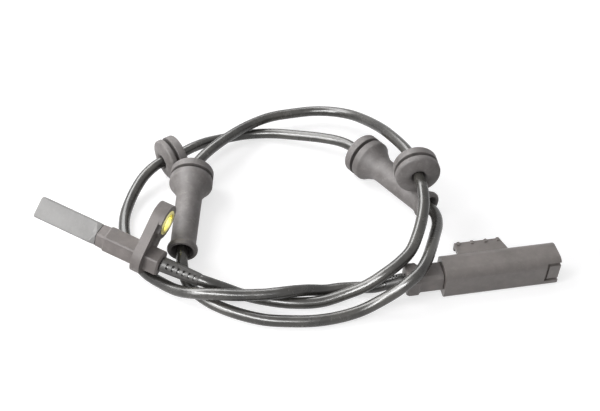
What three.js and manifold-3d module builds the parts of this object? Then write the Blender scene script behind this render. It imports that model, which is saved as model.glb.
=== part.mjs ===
// Wheel speed sensor with its cable, four rubber grommets and a two-way connector.
// Units are millimetres. +X runs along the sensor head from its tip to the cable and +Z is up.
// The origin is on the flange's mounting face, between the body and the bush.
import * as THREE from "three";
import { mergeVertices } from "three/addons/utils/BufferGeometryUtils.js";
import Module from "manifold-3d";

const wasm = await Module();
wasm.setup();

// General fits.
const clearance = 0.3; // between two pieces that only touch
const roundSides = 24;

// Cable.
const cableRadius = 2.5;
const cableSides = 10;
const boreRadius = cableRadius + clearance + 0.1;
const reliefBore = cableRadius + clearance + 0.15;
const reliefRadius = 3.25;
const reliefRib = 0.2;
const reliefRibHalf = 0.6;

// Sensor head, along its own axis from the tip.
// It lies with its flange on the cable's lowest strand, and the stiff cable holds its tip up.
const headTip = [-20.83, -17.23, 23.61];
const headYaw = THREE.MathUtils.degToRad(12.13);
const headPitch = THREE.MathUtils.degToRad(-11.73);
const headRoll = THREE.MathUtils.degToRad(-52.7);
const bladeLength = 27.9;
const bladeHalfThickness = 2.3;
const bladeHalfWidth = 4.8;
const bladeEdge = 0.5;
const capWall = 1.1;
const rampEnd = bladeLength + 1.7;
const bodyStart = rampEnd + clearance;
const bodyStep = 33.7;
const bodyNarrow = 4.9; // half the body's height in front of its step
const narrowShare = 0.97; // half width over half height there
const bodyHalf = 5.5;
const flangeStart = 48.3;
const flangeThickness = 4.2;
const barrelEnd = 59.3;
const barrelHalf = 5.4;
const bushOffset = 16.7;
const bossRadius = 7.7;
const bossProud = 1.5;
const flangeFootRadius = 7.7;
const bushRadius = 5.5;
const bushBoreRadius = 3.8;
const bushProud = 0.5;
const headBore = 3.3;
const cableStop = 44; // where the cable's jacket ends inside the head
const chipStart = 1.5;
const chipLength = 3.8;
const carrierThickness = 0.8;
const stripThickness = 0.35;
const stripWidth = 1;
const leadPitch = 2.8;
const crimpStart = 33.5;
const crimpEnd = 37.5;
const crimpSide = 1.5;
const crimpHoleRadius = 0.45;
const wireRadius = 0.8;

// Grommets, along the cable. x = 0 is the middle of the groove.
const discRadius = 10;
const grooveRadius = 7.4;
const grooveHalf = 0.9;
const discThickness = 3.9;
const coneLength = 5;
const tubeRadius = 5.9;
const tubeLength = 43;
const bellRadius = 6.7;
const faceRise = 1.6; // how far the short grommet's domed face stands out

// Connector, along its own axis from the collar to the mouth.
const connectorYaw = THREE.MathUtils.degToRad(43.7);
const collarStart = [123.3, 48.5];
const collarLength = 5.5;
const collarHalf = 5.8;
const neckHalf = 4.9;
const collarCut = 2;
const neckCut = 1.6;
const shellStart = 15.6;
const shellLength = 50;
const shellHeight = 14.6;
const shellDepth = 13;
const shellWall = 1.3;
const connectorAxisZ = shellHeight / 2;
const socketDepth = 19;
const upperCorner = 3.6;
const lowerCorner = 1.8;
const carrierLength = 11;
const wireRoom = 14; // free length for the two wires behind the contact carrier
const railStart = 24.1;
const railEnd = 44.2;
const railReach = 5.8;
const railThickness = 2;
const railLevel = 3.6;
const lipWidth = 1.4;
const lipHeight = 3.4;
const railRibs = [25.8, 31.8, 37.8, 43.2];
const windowLength = 6.2;
const windowHeight = 9.4;
const windowSlot = 1.7;
const pinPitch = 4;
const pinWidth = 1.4;
const pinThickness = 0.6;
const pinGap = 0.25;
const pinLevel = -0.5;
const pinSetback = 8;
const cableEndX = 23;

// The straight runs of the cable that carry the grommets, each from the disc end.
const longNearRun = [[8.2, 49, 10.8], [36.2, 7.1, 6.9]];
const shortNearRun = [[-4.2, 55.3, 10.2], [-8.2, 43.9, 10.2]];
const longFarRun = [[64.9, 105.2, 10.1], [112.8, 89.2, 11]];
const shortFarRun = [[99.1, 95.7, 27.1], [107.1, 86.7, 27.1]];
const longSeat = 6.5; // from the start of the run to the middle of the groove

// The head's own frame: first the roll about its axis, then the pitch and the yaw.
const headPlace = new THREE.Matrix4().makeRotationFromEuler(
  new THREE.Euler(headRoll, -headPitch, headYaw, "ZYX"),
).setPosition(...headTip);

function onHeadAxis(x) {
  return new THREE.Vector3(x, 0, 0).applyMatrix4(headPlace).toArray();
}

// Cable centreline from the sensor head to the connector, in hand-placed points.
const cablePoints = [
  onHeadAxis(cableStop), onHeadAxis(barrelEnd - 3), onHeadAxis(barrelEnd + 2), [42.4, -3.6, 10.2],
  [46.6, -2.7, 9.4], [50.8, -1.6, 8.8], [54.4, -0.6, 8.5], [57.5, 0.7, 7.6], [60.7, 2.5, 6],
  [64, 4.3, 4.4], [67.5, 5.8, 3.1], [72.3, 7.5, 2.6], [78, 9.5, 2.6],
  [88.4, 14.4, 2.6], [98.5, 21.8, 2.9], [106.3, 29.9, 5.5], [112.2, 36, 8.8], [116.3, 41.9, 12.4],
  [119.4, 48.7, 15.2], [120.8, 56, 17.4], [119.7, 63.2, 20], [117.7, 70.1, 22.8], [114.6, 77, 25.2],
  [110.4, 83, 27.1], shortFarRun[1], shortFarRun[0], [92.6, 101.2, 26.4], [81, 109, 23.5],
  [69.9, 116, 19.5], [53.8, 123.4, 13.5], [44.9, 125.1, 10.8], [35.9, 123.8, 9], [28.3, 120, 8.2],
  [21.6, 113.9, 8], [13.6, 103.4, 8.6], [9.2, 90, 9.8], [7.4, 76, 11], [6.8, 65, 11.5],
  [6.9, 57.5, 11.4], longNearRun[0], [23.4, 26.2, 8.6], longNearRun[1], [41, 1.9, 4.6],
  [44.4, -0.6, 2.9], [48.6, -2.6, 2.55], [55.6, -4, 2.55], [63.7, -4.2, 2.6], [74.6, -2.3, 2.6], [84.9, 1.2, 2.6],
  [93.8, 6.4, 2.6], [102.1, 12.4, 2.6], [109.4, 19.7, 2.7], [115.5, 26.9, 4], [120.7, 33.4, 7.4],
  [124.8, 38, 11.4], [127.7, 42.5, 14.8], [129.4, 47.6, 16.7], [128.9, 54.5, 17], [126.6, 63.4, 15.9],
  [123.5, 73, 14], [121, 80.1, 12.5], [117.4, 85.8, 11.5], longFarRun[1], [91, 96.5, 10.6],
  longFarRun[0], [54.8, 106.8, 9.4], [44.5, 105.5, 8], [32.6, 102.6, 6], [18.2, 97.6, 4],
  [8.2, 90.3, 3.6], [2.4, 80.8, 5], [-1.2, 70, 8], [-2.9, 61.8, 9.7], shortNearRun[0],
  shortNearRun[1], [-9.6, 35.1, 8.4], [-9, 27.4, 5.7], [-7, 20.3, 3.5], [-3.7, 13.7, 2.6],
  [1.6, 7.2, 2.6], [9.6, 0.6, 2.6], [19.4, -4.7, 2.6], [28.2, -7.4, 2.6], [37, -8.3, 3.4],
  [46.6, -8.4, 4.8], [56.2, -6.7, 7.8], [64, -2.9, 8.7], [71.7, 2.1, 8.4], [76.3, 5.6, 8.2],
  [80.5, 8.9, 8.2], [85, 13.1, 8.2], [88.8, 17.8, 7.2], [92.3, 23.4, 4.6], [96.6, 28, 2.8],
  [101.5, 32.9, 2.6], [107.2, 37.4, 2.6], [113.4, 40.6, 4], [118.6, 44.3, 6.3],
  [123.7, 48.8, 7.3], [134.5, 59.2, 7.3], [139.9, 64.4, 7.3],
];

// Turns a geometry into a solid, whichever way round its profile was drawn.
function solid(geometry) {
  const bare = new THREE.BufferGeometry();
  const source = geometry.index ? geometry.toNonIndexed() : geometry;
  bare.setAttribute("position", source.getAttribute("position"));
  const merged = mergeVertices(bare, 1e-4);
  const triangles = new Uint32Array(merged.index.array);
  const positions = merged.attributes.position.array;
  const build = () =>
    new wasm.Manifold(new wasm.Mesh({ numProp: 3, vertProperties: positions, triVerts: triangles }));
  const first = build();
  if (first.volume() >= 0) return first;
  for (let i = 0; i < triangles.length; i += 3) {
    const keep = triangles[i + 1];
    triangles[i + 1] = triangles[i + 2];
    triangles[i + 2] = keep;
  }
  return build();
}

// Makes a named mesh from a solid.
function mesh(name, body, finish) {
  const data = body.getMesh();
  const step = data.numProp;
  const positions = new Float32Array(data.numVert * 3);
  for (let i = 0; i < data.numVert; i += 1) {
    positions.set(data.vertProperties.subarray(i * step, i * step + 3), i * 3);
  }
  const geometry = new THREE.BufferGeometry();
  geometry.setAttribute("position", new THREE.BufferAttribute(positions, 3));
  geometry.setIndex(new THREE.BufferAttribute(data.triVerts, 1));
  const made = new THREE.Mesh(geometry, finish);
  made.name = name;
  return made;
}

// Joins rings that have the same number of points into one closed body with flat ends.
function loft(rings) {
  const count = rings[0].length;
  const positions = rings.flat(2);
  const index = [];
  for (let r = 0; r + 1 < rings.length; r += 1) {
    for (let i = 0; i < count; i += 1) {
      const a = r * count + i;
      const b = r * count + ((i + 1) % count);
      index.push(a, b, b + count, a, b + count, a + count);
    }
  }
  const last = (rings.length - 1) * count;
  for (let i = 1; i + 1 < count; i += 1) {
    index.push(0, i + 1, i);
    index.push(last, last + i, last + i + 1);
  }
  const geometry = new THREE.BufferGeometry();
  geometry.setAttribute("position", new THREE.Float32BufferAttribute(positions, 3));
  geometry.setIndex(index);
  return solid(geometry);
}

// A closed [radius, x] profile turned about X.
function turned(profile, sides = roundSides) {
  const points = profile.map(([r, x]) => new THREE.Vector2(r, x));
  return solid(new THREE.LatheGeometry(points, sides).rotateZ(-Math.PI / 2));
}

// A round bar along X.
function bar(radius, start, end, sides = roundSides) {
  return turned([[0, start], [radius, start], [radius, end], [0, end]], sides);
}

function box(start, end, size, centre = [0, 0]) {
  const made = new THREE.BoxGeometry(end - start, size[0], size[1]);
  return solid(made.translate((start + end) / 2, centre[0], centre[1]));
}

// A smooth path whose stations fall exactly on its hand-placed points.
class StationPath extends THREE.CatmullRomCurve3 {
  getPointAt(u, target) {
    return this.getPoint(u, target);
  }

  getTangentAt(u, target) {
    return this.getTangent(u, target);
  }
}

// Sweeps a flat shape along a row of points, with one station at each.
function sweep(shape, points) {
  const path = new StationPath(points.map((p) => new THREE.Vector3(...p)), false, "centripetal");
  const steps = points.length - 1;
  const options = { steps, bevelEnabled: false, extrudePath: path, curveSegments: 5 };
  return solid(new THREE.ExtrudeGeometry(shape, options));
}

function disc(radius, sides) {
  const shape = new THREE.Shape();
  for (let i = 0; i < sides; i += 1) {
    const angle = (i / sides) * 2 * Math.PI;
    const x = radius * Math.cos(angle);
    const y = radius * Math.sin(angle);
    if (i) shape.lineTo(x, y);
    else shape.moveTo(x, y);
  }
  shape.closePath();
  return shape;
}

const darkPlastic = new THREE.MeshStandardMaterial({ color: 0x3c3b3b });
const paleCap = new THREE.MeshStandardMaterial({ color: 0x8f8f8f });
const rubber = new THREE.MeshStandardMaterial({ color: 0x4a4a49 });
const brass = new THREE.MeshStandardMaterial({ color: 0xb6a45a });
const tin = new THREE.MeshStandardMaterial({ color: 0xc4c4c0 });

const head = new THREE.Group();
head.name = "head";

// The blade's section: a flat bar with broken edges.
function bladeRing(x, inset = 0) {
  const t = bladeHalfThickness - inset;
  const w = bladeHalfWidth - inset;
  const e = bladeEdge;
  return [
    [x, -t, -w + e], [x, -t, w - e], [x, -t + e, w], [x, t - e, w],
    [x, t, w - e], [x, t, -w + e], [x, t - e, -w], [x, -t + e, -w],
  ];
}

// The body's section: two broad facets on each side that meet in a ridge.
function bodyRing(x, half, scaleW = 1) {
  const w = half * scaleW;
  return [
    [x, -half, -0.4], [x, -half, 0.4], [x, -half * 0.33, w], [x, half * 0.33, w],
    [x, half, 0.4], [x, half, -0.4], [x, half * 0.33, -w], [x, -half * 0.33, -w],
  ];
}

const tipRings = [
  bladeRing(0, bladeEdge), bladeRing(bladeEdge), bladeRing(bladeLength),
  bodyRing(rampEnd, bodyNarrow - 0.1, narrowShare),
];
const hollowHeight = 2 * (bladeHalfThickness - capWall);
const hollowWidth = 2 * (bladeHalfWidth - capWall);
const capHollow = box(capWall, rampEnd + 1, [hollowHeight, hollowWidth]);
head.add(mesh("sensor_cap", loft(tipRings).subtract(capHollow), paleCap));

const flangeEnd = flangeStart + flangeThickness;
const bossEnd = flangeEnd + bossProud;
const flangeShape = new THREE.Shape();
flangeShape.absarc(0, 0, flangeFootRadius, Math.PI, 2 * Math.PI, false);
flangeShape.absarc(0, bushOffset, bossRadius, 0, Math.PI, false);
flangeShape.closePath();
const plate = new THREE.ExtrudeGeometry(
  flangeShape,
  { depth: flangeThickness, bevelEnabled: false, curveSegments: 10 },
);
// The shape's x and y become the head's Y and Z, and its depth becomes the head's X.
const plateTurn = new THREE.Matrix4().makeBasis(
  new THREE.Vector3(0, 1, 0), new THREE.Vector3(0, 0, 1), new THREE.Vector3(1, 0, 0),
);
const flangeSolid = solid(plate.applyMatrix4(plateTurn).translate(flangeStart, 0, 0));
const boss = bar(bossRadius - 0.2, flangeStart + 1, bossEnd).translate([0, 0, bushOffset]);
const bodySolid = loft([
  bodyRing(bodyStart, bodyNarrow, narrowShare), bodyRing(bodyStep - 0.5, bodyNarrow + 0.4, narrowShare),
  bodyRing(bodyStep + 0.5, bodyHalf), bodyRing(flangeStart + 1, bodyHalf),
]);
const barrelSolid = loft([
  bodyRing(flangeEnd - 1, barrelHalf), bodyRing(barrelEnd - 0.6, barrelHalf),
  bodyRing(barrelEnd, barrelHalf - 0.5),
]);
const gusset = box(flangeEnd - 1, bossEnd - 0.3, [3, 6], [0, 7.4]);
const notch = box(flangeEnd - 0.4, flangeEnd + 0.6, [6, 8], [-bossRadius, bushOffset - 2]);
const bushHole = bar(bushRadius + 0.08, flangeStart - 1, bossEnd + 1).translate([0, 0, bushOffset]);
const leadChamber = bar(headBore, bodyStart - 1, cableStop, 16);
const cableHole = bar(boreRadius, cableStop - 1, barrelEnd + 1, 16);
const housing = flangeSolid.add(boss).add(bodySolid).add(barrelSolid).add(gusset)
  .subtract(notch).subtract(bushHole).subtract(leadChamber).subtract(cableHole);
head.add(mesh("sensor_housing", housing, darkPlastic));

const bush = turned([
  [bushBoreRadius, flangeStart - bushProud], [bushRadius, flangeStart - bushProud],
  [bushRadius, bossEnd + bushProud], [bushBoreRadius, bossEnd + bushProud],
  [bushBoreRadius, flangeStart - bushProud],
]).translate([0, 0, bushOffset]);
head.add(mesh("flange_bush", bush, brass));

// Inside the head: a chip on its carrier at the tip, two lead strips, crimps and the cable's two wires.
const chipEnd = chipStart + chipLength;
const stripStart = chipEnd + clearance;
const carrierLevel = carrierThickness / 2;
const stripLevel = -clearance - stripThickness / 2;
const chip = box(chipStart, chipEnd, [hollowHeight - 2 * clearance, hollowWidth - 2 * clearance - 1]);
head.add(mesh("hall_chip", chip, darkPlastic));
const carrierWidth = hollowWidth - 4 * clearance;
const carrierSize = [carrierThickness, carrierWidth];
const chipCarrier = box(stripStart, crimpStart + 2.7, carrierSize, [carrierLevel, 0]);
head.add(mesh("chip_carrier", chipCarrier, darkPlastic));
const crimpLevel = -clearance - crimpSide / 2;
for (const side of [-1, 1]) {
  const label = side < 0 ? "a" : "b";
  const across = (side * leadPitch) / 2;
  const stripSize = [stripThickness, stripWidth];
  const strip = box(stripStart, crimpStart - clearance, stripSize, [stripLevel, across]);
  head.add(mesh("lead_" + label, strip, tin));
  const crimpHole = bar(crimpHoleRadius, crimpStart + 1.2, crimpEnd + 1, 8);
  const crimp = box(crimpStart, crimpEnd, [crimpSide, crimpSide], [crimpLevel, across]);
  const crimpTube = crimp.subtract(crimpHole.translate([0, crimpLevel, across]));
  head.add(mesh("crimp_" + label, crimpTube, tin));
  const headWire = bar(wireRadius, crimpEnd + clearance, cableStop - 1.2, 10);
  head.add(mesh("head_wire_" + label, headWire.translate([0, crimpLevel, across]), rubber));
}

headPlace.decompose(head.position, head.quaternion, head.scale);

// Each grommet sits on a straight run of the cable, and its own +X faces the run's second point.
function placed(made, [from, to], along) {
  const start = new THREE.Vector3(...from);
  const facing = new THREE.Vector3(...to).sub(start).normalize();
  made.quaternion.setFromUnitVectors(new THREE.Vector3(1, 0, 0), facing);
  made.position.copy(start).addScaledVector(facing, along);
  return made;
}

// The middle of a short run.
function middle([from, to]) {
  return new THREE.Vector3(...from).distanceTo(new THREE.Vector3(...to)) / 2;
}

const shortHalf = grooveHalf + discThickness;
const longProfile = [
  [boreRadius + 0.9, -shortHalf], [discRadius - 0.8, -shortHalf], [discRadius, -shortHalf + 0.8],
  [discRadius, -grooveHalf], [grooveRadius, -grooveHalf], [grooveRadius, grooveHalf],
  [discRadius, grooveHalf], [discRadius, shortHalf - 1], [discRadius - 0.9, shortHalf],
  [tubeRadius + 0.9, shortHalf + coneLength - 1], [tubeRadius, shortHalf + coneLength + 1],
  [tubeRadius - 0.3, tubeLength - 4.6], [bellRadius, tubeLength - 2.6], [bellRadius, tubeLength - 1],
  [bellRadius - 0.9, tubeLength], [boreRadius + 1.6, tubeLength], [boreRadius, tubeLength - 3.5],
  [boreRadius, -shortHalf + 1.2], [boreRadius + 0.9, -shortHalf],
];
const shortProfile = [
  [boreRadius + 0.8, -shortHalf], [discRadius - 0.8, -shortHalf], [discRadius, -shortHalf + 0.8],
  [discRadius, -grooveHalf], [grooveRadius, -grooveHalf], [grooveRadius, grooveHalf],
  [discRadius, grooveHalf], [discRadius, shortHalf - faceRise],
  [discRadius - 1, shortHalf - faceRise + 0.7], [boreRadius + 2.2, shortHalf],
  [boreRadius + 0.8, shortHalf - 1], [boreRadius, shortHalf - 2.4], [boreRadius, -shortHalf + 1.2],
  [boreRadius + 0.8, -shortHalf],
];
const longBody = turned(longProfile);
const shortBody = turned(shortProfile);
const longNear = placed(mesh("grommet_long_near", longBody, rubber), longNearRun, longSeat);
const longFar = placed(mesh("grommet_long_far", longBody, rubber), longFarRun, longSeat);
const nearSeat = middle(shortNearRun);
const shortNear = placed(mesh("grommet_short_near", shortBody, rubber), shortNearRun, nearSeat);
const farSeat = middle(shortFarRun);
const shortFar = placed(mesh("grommet_short_far", shortBody, rubber), shortFarRun, farSeat);

const connector = new THREE.Group();
connector.name = "connector";

// A square section with cut corners, for the boot.
function cutSquare(x, half, cut) {
  const a = half;
  const b = half - cut;
  return [
    [x, -a, -b], [x, -a, b], [x, -b, a], [x, b, a], [x, a, b], [x, a, -b], [x, b, -a], [x, -b, -a],
  ];
}

const bootEnd = shellStart - clearance;
const boot = loft([
  cutSquare(0, collarHalf - 0.6, collarCut - 0.2), cutSquare(0.8, collarHalf, collarCut),
  cutSquare(collarLength - 1, collarHalf, collarCut),
  cutSquare(collarLength + 0.4, neckHalf, neckCut), cutSquare(bootEnd, neckHalf, neckCut),
]).subtract(bar(boreRadius, -1, bootEnd + 1, 16));
connector.add(mesh("connector_boot", boot, rubber));

// A rounded rectangle for the shell. Its upper corners are rounder than its lower ones.
function shellShape(inset, upper, lower) {
  const y = shellDepth / 2 - inset;
  const z = shellHeight / 2 - inset;
  const shape = new THREE.Shape();
  shape.absarc(-y + lower, -z + lower, lower, Math.PI, 1.5 * Math.PI, false);
  shape.absarc(y - lower, -z + lower, lower, 1.5 * Math.PI, 2 * Math.PI, false);
  shape.absarc(y - upper, z - upper, upper, 0, 0.5 * Math.PI, false);
  shape.absarc(-y + upper, z - upper, upper, 0.5 * Math.PI, Math.PI, false);
  shape.closePath();
  return shape;
}

function shellBar(start, end, inset, upper, lower) {
  const options = { depth: end - start, bevelEnabled: false, curveSegments: 4 };
  const made = new THREE.ExtrudeGeometry(shellShape(inset, upper, lower), options);
  return solid(made.applyMatrix4(plateTurn).translate(start, 0, 0));
}

const shellEnd = shellStart + shellLength;
const carrierEnd = shellEnd - socketDepth;
const carrierStart = carrierEnd - carrierLength;
// A flat rail on the back with a slanted end and four small ribs on its far edge.
const railBack = shellDepth / 2;
const railEdge = railBack + railReach;
const railSlant = 2.6;
const railShape = new THREE.Shape();
railShape.moveTo(railStart, railBack - 1);
railShape.lineTo(railEnd + railSlant, railBack - 1);
railShape.lineTo(railEnd + railSlant, railBack);
railShape.lineTo(railEnd, railEdge);
railShape.lineTo(railStart, railEdge);
railShape.closePath();
const railPlate = new THREE.ExtrudeGeometry(railShape, { depth: railThickness, bevelEnabled: false });
let shell = shellBar(shellStart, shellEnd, 0, upperCorner, lowerCorner);
shell = shell.add(solid(railPlate.translate(0, 0, railLevel)));
const lipCentre = [railEdge - lipWidth / 2, railLevel - 0.2];
shell = shell.add(box(railStart, railEnd, [lipWidth, lipHeight], lipCentre));
for (const x of railRibs) {
  const ribCentre = [railEdge - lipWidth / 2 - 0.1, railLevel + railThickness - 0.7];
  shell = shell.add(box(x - 0.6, x + 0.6, [lipWidth + 0.2, 2.6], ribCentre));
}
const innerUpper = upperCorner - shellWall;
const innerLower = lowerCorner - shellWall + clearance;
const hollowStart = carrierStart - wireRoom;
shell = shell.subtract(shellBar(hollowStart, shellEnd + 1, shellWall, innerUpper, innerLower));
shell = shell.subtract(bar(boreRadius + 0.4, shellStart - 1, carrierStart, 16));
// The latch window is a notch in the front wall, open at the mouth, with a tongue in it.
const windowStart = shellEnd - windowLength;
shell = shell.subtract(box(windowStart, shellEnd + 1, [3, windowHeight], [-railBack, -0.4]));
const tongueHeight = windowHeight - 2 * windowSlot;
const tongueCentre = [-railBack + shellWall - 0.5, -0.6];
shell = shell.add(box(windowStart - 1.8, shellEnd - 0.6, [0.9, tongueHeight], tongueCentre));
connector.add(mesh("connector_shell", shell, darkPlastic));

const carrierInset = shellWall + clearance;
let carrier = shellBar(carrierStart, carrierEnd, carrierInset, innerUpper - 0.1, innerLower);
for (const side of [-1, 1]) {
  const slot = [pinWidth + 2 * pinGap, pinThickness + 2 * pinGap];
  const slotCentre = [(side * pinPitch) / 2, pinLevel];
  carrier = carrier.subtract(box(carrierStart - 1, carrierEnd + 1, slot, slotCentre));
}
connector.add(mesh("contact_carrier", carrier, darkPlastic));
const pinStart = carrierStart - 4;
for (const side of [-1, 1]) {
  const label = side < 0 ? "a" : "b";
  const y = (side * pinPitch) / 2;
  const pin = box(pinStart, shellEnd - pinSetback, [pinWidth, pinThickness], [y, pinLevel]);
  connector.add(mesh("contact_pin_" + label, pin, tin));
  const wire = bar(wireRadius, cableEndX + clearance, pinStart - clearance, 10);
  connector.add(mesh("connector_wire_" + label, wire.translate([0, y * 0.6, pinLevel]), rubber));
}
connector.rotation.set(0, 0, connectorYaw);
connector.position.set(collarStart[0], collarStart[1], connectorAxisZ);

// The cable and its two ribbed reliefs.
const cable = mesh("cable", sweep(disc(cableRadius, cableSides), cablePoints), rubber);

function ring(outer, inner, sides) {
  const shape = disc(outer, sides);
  shape.holes.push(disc(inner, sides));
  return shape;
}

// A ribbed relief: a sleeve swept along some of the cable's own points, with ribs round it.
function relief(name, points, outer, ribs) {
  let body = sweep(ring(outer, reliefBore, 14), points);
  const vectors = points.map((p) => new THREE.Vector3(...p));
  const path = new THREE.CatmullRomCurve3(vectors, false, "centripetal");
  const bore = sweep(disc(reliefBore, 14), points);
  for (let i = 0; i < ribs; i += 1) {
    const u = (i + 0.5) / ribs;
    const turn = new THREE.Matrix4().makeRotationFromQuaternion(
      new THREE.Quaternion().setFromUnitVectors(new THREE.Vector3(1, 0, 0), path.getTangentAt(u)),
    ).setPosition(path.getPointAt(u));
    const rib = bar(outer + reliefRib, -reliefRibHalf, reliefRibHalf, 14).transform(turn.elements);
    body = body.add(rib.subtract(bore));
  }
  return mesh(name, body, rubber);
}

// The point that lies a share of the way from one point to the next.
function between(from, to, share) {
  return new THREE.Vector3(...from).lerp(new THREE.Vector3(...to), share).toArray();
}

const sensorReliefPoints = cablePoints.slice(2, 6);
sensorReliefPoints[0] = onHeadAxis(barrelEnd + 0.7);
const sensorRelief = relief("sensor_relief", sensorReliefPoints, reliefRadius, 7);
const reliefMiddle = cablePoints.length - 4;
const connectorReliefPoints = [
  between(cablePoints[reliefMiddle - 1], cablePoints[reliefMiddle], 0.7),
  cablePoints[reliefMiddle],
  between(cablePoints[reliefMiddle], cablePoints[reliefMiddle + 1], 0.84),
];
const connectorRelief = relief("connector_relief", connectorReliefPoints, reliefRadius, 3);

// Everything as it lies on the floor, turned and moved so that the origin is on the mounting face.
const lying = new THREE.Group();
lying.add(head, longNear, longFar, shortNear, shortFar);
lying.add(connector, cable, sensorRelief, connectorRelief);
lying.rotation.z = -headYaw;
const mountLevel = (bodyHalf + bushOffset - bushRadius) / 2;
const mountPoint = new THREE.Vector3(flangeStart, 0, mountLevel).applyMatrix4(headPlace);
lying.position.copy(mountPoint.applyEuler(lying.rotation).negate());

const part = new THREE.Group();
part.add(lying);
part.updateMatrixWorld(true);
export default part;
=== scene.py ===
"""Wheel speed sensor: sensor head, looped cable, four grommets and a two-way connector.

Pieces are modelled in millimetres, each in the frame of its own sub-assembly, and settle()
brings them to metres in the part's frame.
"""

import logging
import math
from collections.abc import Callable, Sequence
from dataclasses import dataclass, field
from enum import Enum

import bmesh
import bpy
from mathutils import Matrix, Vector


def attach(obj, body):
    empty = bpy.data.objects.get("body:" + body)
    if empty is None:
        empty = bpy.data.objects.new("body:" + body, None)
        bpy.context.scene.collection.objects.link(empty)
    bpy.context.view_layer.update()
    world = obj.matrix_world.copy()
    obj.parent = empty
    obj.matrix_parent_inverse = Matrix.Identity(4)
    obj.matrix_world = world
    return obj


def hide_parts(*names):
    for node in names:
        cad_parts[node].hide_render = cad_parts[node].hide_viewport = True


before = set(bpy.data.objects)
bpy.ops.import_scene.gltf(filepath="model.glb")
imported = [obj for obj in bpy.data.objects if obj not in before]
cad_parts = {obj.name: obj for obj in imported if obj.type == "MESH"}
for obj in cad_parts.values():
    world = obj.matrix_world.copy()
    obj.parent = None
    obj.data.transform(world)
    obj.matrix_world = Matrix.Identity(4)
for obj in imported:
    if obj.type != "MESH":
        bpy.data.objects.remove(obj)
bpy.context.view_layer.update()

log = logging.getLogger("wheel_speed_sensor")

Piece = bpy.types.Object
Material = bpy.types.Material
NodeTree = bpy.types.NodeTree
Pair = tuple[float, float]
Point = tuple[float, float, float]
Test = Callable[[Vector, Vector], bool]

MM_PER_M = 1000
# Two places nearer to each other than this, in millimetres, count as one.
SAME_PLACE = 0.001
# How far a cutting tool stands out of what it cuts.
OVERCUT = 1.0
# Faces of round rubber that meet at less than this angle, in degrees, shade as one.
ROUND_SMOOTH = 40

# The part's frame: the lying frame, which has the table at z = 0, moved to the mounting face
# and turned by the head's yaw.
HEAD_YAW = math.radians(12.13)
MOUNT_POINT = Vector((25.0155, -0.5826, 18.7449))
LYING = (
    Matrix.Scale(1 / MM_PER_M, 4)
    @ Matrix.Rotation(-HEAD_YAW, 4, "Z")
    @ Matrix.Translation(-MOUNT_POINT)
)

# The head's own frame in the lying frame: its tip at the origin and its axis along +X.
HEAD_TIP = Vector((-20.83, -17.23, 23.61))
HEAD_PITCH = 11.73
HEAD_ROLL = -52.7
HEAD_PLACE = (
    Matrix.Translation(HEAD_TIP)
    @ Matrix.Rotation(HEAD_YAW, 4, "Z")
    @ Matrix.Rotation(math.radians(HEAD_PITCH), 4, "Y")
    @ Matrix.Rotation(math.radians(HEAD_ROLL), 4, "X")
)
# From the head's tip to where the cable leaves the barrel.
BARREL_END = 59.3


def on_head_axis(x: float) -> Point:
    """Gives the point of the head's axis, in the lying frame, x millimetres from its tip."""
    return tuple(HEAD_PLACE @ Vector((x, 0, 0)))


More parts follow.
